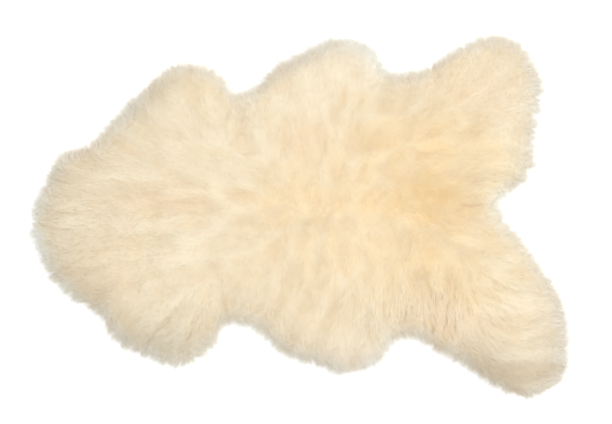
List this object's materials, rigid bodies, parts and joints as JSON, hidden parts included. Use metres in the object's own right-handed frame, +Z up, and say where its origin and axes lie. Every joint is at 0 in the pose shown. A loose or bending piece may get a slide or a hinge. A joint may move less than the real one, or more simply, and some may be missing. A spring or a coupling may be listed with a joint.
{
  "type": "sheepskin rug",
  "caption": "Whole natural sheepskin laid flat as a rug: deep, soft cream wool on a tanned hide, cut to the pelt's own outline of neck, forelegs, flanks and hind legs.",
  "frame": {"origin": "on the surface the rug lies on, at the middle of its length and of its width", "axes": "+X along the pelt from the neck to the hind legs, +Y to the pelt's right side, +Z up through the wool"},
  "size_m": [0.9998, 0.6748, 0.0575],
  "materials": {
    "wool": "matte",
    "hide": "matte"
  },
  "bodies": {
    "root": {"pelt": "wool"}
  },
  "joints": []
}
